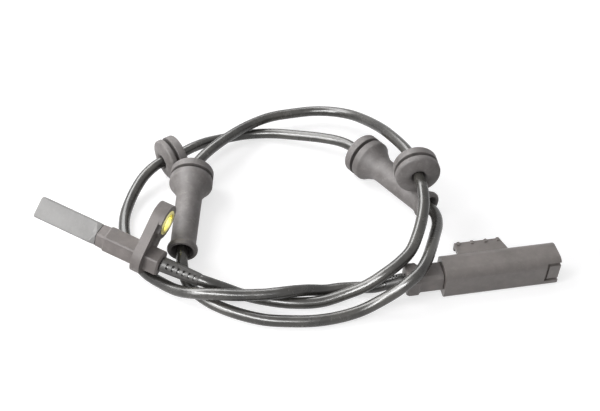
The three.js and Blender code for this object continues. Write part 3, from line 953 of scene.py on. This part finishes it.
@dataclass
class SensorHead:
    """The sensor head: its blade-shaped tip, the housing with its flange, and the brass bush.

    Places along its axis are measured from its tip, in millimetres.

    Attributes:
        tip: the blade, whose end face has broken edges, and the ramp behind it.
        housing: the neck, the step and the body, whose facets meet in a ridge on each side.
        flange_start: the mounting face.
        flange_end: the flange's rear face.
        boss_end: the rear face of the boss round the bush.
        boss_radius: the round end of the flange.
        bush_offset: from the head's axis to the bush's.
        blocks: the web under the boss, and the hollow beside it.
        bush_radius: the bush's outer radius.
        bush_bore: its bore's radius.
        bush_cut: the chamfers on its ends.
        bush_proud: how far it stands out of the mounting face and of the boss.
        seat_radius: radius of the hole that it sits in.
        cable_bore: radius of the hole for the cable.
        bore_start: where that hole starts.
        sides: how many sides the boss, the bush and its seat have.
        place: the head's frame in the part's frame.
    """

    tip: tuple[Section, ...] = (
        Section(0, (1.8, 3.8), (1.3, 4.3)), Section(0.55, (2.3, 4.3), (1.8, 4.8)),
        Section(27, (2.3, 4.3), (1.8, 4.8)), Section(29.6, (4.8, 0.4), (1.584, 4.656)),
    )
    housing: tuple[Section, ...] = (
        Section(29.9, (4.9, 0.4), (1.617, 4.753)), Section(33.3, (5.1, 0.4), (1.683, 4.947)),
        Section(34, (5.5, 0.4), (1.815, 5.5)), Section(58.6, (5.4, 0.4), (1.782, 5.4)),
        Section(BARREL_END, (4.8, 0.4), (1.584, 4.8)),
    )
    flange_start: float = 48.3
    flange_end: float = 52.5
    boss_end: float = 54.0
    boss_radius: float = 7.7
    bush_offset: float = 16.7
    blocks: tuple[Block, ...] = (
        ("web", (51.5, -1.5, 4.2), (53.7, 1.5, 11), Joining.ADD),
        ("hollow", (52.6, -8.7, 7.7), (55, -5.1, 14.5), Joining.CUT),
    )
    bush_radius: float = 5.5
    bush_bore: float = 3.8
    bush_cut: float = 0.4
    bush_proud: Pair = (0.45, 0.5)
    seat_radius: float = 5.55
    cable_bore: float = 2.75
    bore_start: float = 44.0
    sides: int = 96
    place: Matrix = field(default_factory=lambda: LYING @ HEAD_PLACE)

    def build_tip(self) -> None:
        """Makes the blade with its broken edges and the ramp up to the body."""
        piece = grow("sensor_tip", self.tip)
        soften(piece, 0.18)
        settle(piece, self.place, TIP_NYLON.make(), "sensor_cap")

    def build_flange(self) -> Piece:
        """Makes the flange: a round bar whose lower half is pulled down to the head's axis.

        Returns:
            The flange.
        """
        centre = (0, self.bush_offset)
        piece = add_round(
            "flange", self.boss_radius, self.flange_start, self.flange_end, centre, self.sides
        )
        enter(piece)
        pick(piece, Kind.VERTS, lambda c, _: c.z < self.bush_offset - SAME_PLACE)
        bpy.ops.transform.translate(value=(0, 0, -self.bush_offset))
        leave()
        return piece

    def build_housing(self) -> None:
        """Joins body, flange, boss and web, and cuts the bush's seat and the cable's hole."""
        piece = grow("sensor_housing_shell", self.housing)
        combine(piece, self.build_flange(), Joining.ADD)
        centre = (0, self.bush_offset)
        boss = add_round(
            "boss", self.boss_radius, self.flange_start + 1, self.boss_end, centre, self.sides
        )
        combine(piece, boss, Joining.ADD)
        combine_blocks(piece, self.blocks)
        seat = add_round(
            "seat", self.seat_radius, self.flange_start - OVERCUT, self.boss_end + OVERCUT,
            centre, self.sides,
        )
        combine(piece, seat, Joining.CUT)
        bore = add_round("bore", self.cable_bore, self.bore_start, BARREL_END + OVERCUT)
        combine(piece, bore, Joining.CUT)
        soften(piece, 0.22)
        settle(piece, self.place, HOUSING_NYLON.make(), "sensor_housing")

    def build_bush(self) -> None:
        """Turns the brass bush with its two chamfered ends."""
        front = self.flange_start - self.bush_proud[0]
        rear = self.boss_end + self.bush_proud[1]
        bore, outer, cut = self.bush_bore, self.bush_radius, self.bush_cut
        piece = turn("brass_bush", [
            (bore, front + cut), (bore + cut, front), (outer - cut, front), (outer, front + cut),
            (outer, rear - cut), (outer - cut, rear), (bore + cut, rear), (bore, rear - cut),
            (bore, front + cut),
        ], self.sides)
        place = self.place @ Matrix.Translation((0, 0, self.bush_offset))
        settle(piece, place, BUSH_BRASS.make(), "flange_bush")

    def build(self) -> None:
        """Builds the whole head."""
        self.build_tip()
        self.build_housing()
        self.build_bush()


# Rings of a grommet, radius and x from the groove's middle: its two discs with the groove.
GROMMET_DISCS: tuple[Pair, ...] = (
    (2.58, -4.3), (3.3, -4.8), (9.2, -4.8), (9.75, -4.6), (10, -4.1), (10, -1.05),
    (9.85, -0.9), (6.3, -0.9), (6.3, 0.9), (9.85, 0.9), (10, 1.05),
)


class GrommetShape(Enum):
    """The rings that follow a grommet's discs, out along its skin and back through its bore."""

    LONG = (
        (10, 3.7), (9.75, 4.3), (9.2, 4.85), (8.6, 5.7), (7.9, 6.9), (7.2, 8.2),
        (6.6, 9.3), (6.15, 10.4), (5.95, 11.8), (5.85, 16), (5.7, 30), (5.6, 37.6),
        (5.75, 38.8), (6.2, 39.9), (6.6, 40.7), (6.7, 41.3), (6.65, 42.2), (6.3, 42.8),
        (5.7, 43), (5.2, 42.9), (4.8, 42.4), (4.6, 41), (4.4, 38), (3.4, 35.5),
        (2.58, 34.5), (2.58, -4.3),
    )
    SHORT = (
        (10, 2.6), (9.8, 3.2), (9.2, 3.6), (7.6, 4.2), (6.2, 4.6), (5.1, 4.8),
        (4.2, 4.75), (3.5, 4.5), (3.0, 3.8), (2.7, 2.8), (2.58, 2.2), (2.58, -4.3),
    )


@dataclass
class Grommets:
    """The four rubber grommets on the cable: two discs with a groove for the panel's edge.

    Attributes:
        sides: how many sides their rings have.
        seats: where each sits: its solid, its shape, both ends of the straight stretch of cable
            under it, in the lying frame, and from the first end to the groove's middle.
    """

    sides: int = 80
    seats: tuple[tuple[str, GrommetShape, Point, Point, float], ...] = (
        ("grommet_long_near", GrommetShape.LONG, (8.2, 49, 10.8), (36.2, 7.1, 6.9), 6.5),
        ("grommet_long_far", GrommetShape.LONG, (64.9, 105.2, 10.1), (112.8, 89.2, 11), 6.5),
        ("grommet_short_near", GrommetShape.SHORT, (-4.2, 55.3, 10.2), (-8.2, 43.9, 10.2), 6.04),
        ("grommet_short_far", GrommetShape.SHORT, (99.1, 95.7, 27.1), (107.1, 86.7, 27.1), 6.02),
    )

    def build(self) -> list[Piece]:
        """Turns each shape once, and seats a copy with its own mesh wherever the cable has one.

        Returns:
            The four grommets.
        """
        rubber = GROMMET_EPDM.make()
        made = []
        models = {
            shape: turn(shape.name.lower(), [*GROMMET_DISCS, *shape.value], self.sides)
            for shape in GrommetShape
        }
        for node, shape, start, end, along in self.seats:
            mesh = models[shape].data.copy()
            mesh.name = f"rubber_{node}"
            piece = add_object(mesh.name, mesh)
            place = run_frame(start, end) @ Matrix.Translation((along, 0, 0))
            settle(piece, place, rubber, node, ROUND_SMOOTH)
            made.append(piece)
        for model in models.values():
            bpy.data.objects.remove(model, do_unlink=True)
        return made


@dataclass
class Relief:
    """A ribbed relief where the cable leaves the head or enters the connector.

    Attributes:
        node: the solid that it stands for.
        start: its thick end, in the lying frame.
        end: its thin end.
        radii: its outer radius at both ends.
        windows: how many slots it has on each side.
        roll: turns the slots about its axis, in degrees.
        bore: its bore's radius.
        collar: how much of the thick end doesn't taper.
        plain: how much of the thick and of the thin end has no slots.
        slot_share: half a slot's width, as a share of the slots' spacing.
        slot_half: half a slot's height.
    """

    node: str
    start: Point
    end: Point
    radii: Pair
    windows: int
    roll: float
    bore: float = 2.56
    collar: float = 1.2
    plain: Pair = (1.9, 0.7)
    slot_share: float = 0.2
    slot_half: float = 1.2

    def build(self, rubber: Material) -> Piece:
        """Turns the sleeve and cuts its slots through from side to side.

        Args:
            rubber: the material of both reliefs.

        Returns:
            The relief.
        """
        length = (Vector(self.end) - Vector(self.start)).length
        thick, thin = self.radii
        piece = turn(f"ribbed_{self.node}", [
            (self.bore, 0.2), (2.8, 0), (thick - 0.2, 0), (thick, 0.2), (thick, self.collar),
            (thin, length - 0.8), (thin - 0.15, length - 0.2), (2.62, length),
            (self.bore, length - 0.1), (self.bore, 0.2),
        ], 48)
        pitch = (length - sum(self.plain)) / self.windows
        half = pitch * self.slot_share
        side = thick + OVERCUT
        for i in range(self.windows):
            x = self.plain[0] + pitch * (i + 0.5)
            slot = add_block(
                "slot", (x - half, -side, -self.slot_half), (x + half, side, self.slot_half)
            )
            combine(piece, slot, Joining.CUT)
        soften(piece, 0.08, 1, 40)
        roll = Matrix.Rotation(math.radians(self.roll), 4, "X")
        place = run_frame(self.start, self.end) @ roll
        settle(piece, place, rubber, self.node, ROUND_SMOOTH)
        return piece


@dataclass
class Connector:
    """The two-way connector: rubber boot, keyed shell with its latch window, and rail.

    Places along its axis are measured from the boot's collar, in millimetres.

    Attributes:
        boot: the square collar with cut corners, and the neck.
        boot_bore: radius of the hole for the cable.
        shell_start: where the shell starts.
        shell_end: the mouth.
        half_width: half the shell's width.
        half_height: half its height.
        wall: its wall.
        top_round: the round of its upper long edges.
        low_round: the round of its lower ones.
        socket_start: the socket's floor.
        entry_radius: radius of the hole behind the socket.
        entry_end: where that hole ends.
        rail_low: the rail's lowest corner, inside the shell's wall.
        rail_high: its highest.
        rail_slant: how far its front end slants back.
        blocks: the rail's lip and four small ribs, the latch window through the wall beside the
            mouth, the plate behind that window and the latch's tongue.
        place: the connector's frame in the part's frame.
    """

    boot: tuple[Section, ...] = (
        Section(0, (5.2, 3.6), (3.6, 5.2)), Section(0.7, (5.8, 3.8), (3.8, 5.8)),
        Section(4.6, (5.8, 3.8), (3.8, 5.8)), Section(5.6, (4.9, 3.3), (3.3, 4.9)),
        Section(15.4, (4.9, 3.3), (3.3, 4.9)),
    )
    boot_bore: float = 2.6
    shell_start: float = 15.6
    shell_end: float = 65.6
    half_width: float = 6.5
    half_height: float = 7.3
    wall: float = 1.3
    top_round: float = 3.6
    low_round: float = 1.8
    socket_start: float = 21.6
    entry_radius: float = 3.3
    entry_end: float = 30.0
    rail_low: Point = (24.1, 5.5, 3.6)
    rail_high: Point = (46.2, 12.3, 5.6)
    rail_slant: float = 2.0
    blocks: tuple[Block, ...] = (
        ("lip", (24.1, 10.9, 1.9), (44.2, 12.3, 5.2), Joining.ADD),
        *(
            ("rib", (x - 0.6, 10.7, 3.6), (x + 0.6, 12.3, 6.2), Joining.ADD)
            for x in (25.8, 31.8, 37.8, 43.2)
        ),
        ("window", (59.4, -8, -4.3), (66.6, -4.9, 5.8), Joining.CUT),
        ("plate", (57.6, -5.3, -5.2), (65.2, -4.6, 6), Joining.ADD),
        ("tongue", (60.5, -6.2, -3.2), (65.4, -5, 4.5), Joining.ADD),
    )
    place: Matrix = field(
        default_factory=lambda: LYING
        @ Matrix.Translation((123.3, 48.5, 7.3))
        @ Matrix.Rotation(math.radians(43.7), 4, "Z")
    )

    def build_boot(self) -> Piece:
        """Makes the boot: a square collar with cut corners, and a narrower neck.

        Returns:
            The boot.
        """
        piece = grow("connector_rubber_boot", self.boot)
        bore = add_round("bore", self.boot_bore, -OVERCUT, self.shell_start + OVERCUT)
        combine(piece, bore, Joining.CUT)
        soften(piece, 0.3, 3)
        settle(piece, self.place, BOOT_TPE.make(), "connector_boot")
        return piece

    def round_bar(self, name: str, start: float, end: float, inset: float) -> Piece:
        """Makes a bar of the shell's section, with rounder edges on top.

        Args:
            name: the object's name.
            start: its lower end along X.
            end: its upper end along X.
            inset: how far it lies inside the shell's outer face.

        Returns:
            The bar.
        """
        y = self.half_width - inset
        z = self.half_height - inset
        edge = z - SAME_PLACE
        piece = add_block(name, (start, -y, -z), (end, y, z))
        for top, radius in ((True, self.top_round), (False, self.low_round)):
            enter(piece)
            pick(
                piece, Kind.EDGES,
                lambda c, d: abs(d.x) > 0.9 and (c.z > edge) == top and abs(c.z) > edge,
            )
            bpy.ops.mesh.bevel(offset=radius - inset, segments=8)
            leave()
        return piece

    def build_shell(self) -> Piece:
        """Makes the shell with its socket, cable entry, rail and latch.

        Returns:
            The shell.
        """
        piece = self.round_bar("connector_housing", self.shell_start, self.shell_end, 0)
        hollow = self.round_bar("hollow", self.socket_start, self.shell_end + OVERCUT, self.wall)
        combine(piece, hollow, Joining.CUT)
        entry = add_round("entry", self.entry_radius, self.shell_start - OVERCUT, self.entry_end)
        combine(piece, entry, Joining.CUT)
        end, edge = self.rail_high[0] - SAME_PLACE, self.rail_high[1] - SAME_PLACE
        rail = add_block("rail", self.rail_low, self.rail_high)
        enter(rail)
        pick(rail, Kind.VERTS, lambda c, _: c.x > end and c.y > edge)
        bpy.ops.transform.translate(value=(-self.rail_slant, 0, 0))
        leave()
        combine(piece, rail, Joining.ADD)
        combine_blocks(piece, self.blocks)
        soften(piece, 0.2)
        settle(piece, self.place, SHELL_PBT.make(), "connector_shell")
        return piece

    def build(self) -> list[Piece]:
        """Builds the boot and the shell."""
        return [self.build_boot(), self.build_shell()]


RELIEFS = (
    Relief("sensor_relief", on_head_axis(59.6), (53.0, -1.0, 8.55), (3.3, 2.8), 6, HEAD_ROLL),
    Relief("connector_relief", (122.9, 48.1, 7.2), (117.0, 43.1, 5.6), (3.3, 2.9), 4, -50),
)


def dress_inner_solids() -> None:
    """Gives the solids that stay as they are, inside head and connector, their materials."""
    inside = {
        CHIP_EPOXY: ("hall_chip", "chip_carrier"),
        TINNED: ("lead_a", "lead_b", "crimp_a", "crimp_b", "contact_pin_a", "contact_pin_b"),
        CORE_PVC: ("head_wire_a", "head_wire_b", "connector_wire_a", "connector_wire_b"),
        CARRIER_PBT: ("contact_carrier",),
    }
    for finish, names in inside.items():
        material = finish.make()
        for name in names:
            dress(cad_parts[name], material)
            log.info("dressed %s", name)


def main() -> None:
    """Builds the scene, the camera and the cord first."""
    logging.basicConfig(level=logging.INFO, format="%(message)s")
    bpy.context.scene.view_settings.view_transform = "Standard"
    studio = Studio()
    studio.add_camera()
    cable = Cable()
    jacket = cable.build()
    studio.add_floor()
    studio.add_light()
    SensorHead().build()
    with_pieces = Grommets().build()
    relief_rubber = RELIEF_TPE.make()
    with_pieces += [relief.build(relief_rubber) for relief in RELIEFS]
    with_pieces += Connector().build()
    with_pieces += [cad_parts[name] for name in CONNECTOR_INSIDE]
    cable.declare(jacket)
    dress_inner_solids()


if __name__ == "__main__":
    main()
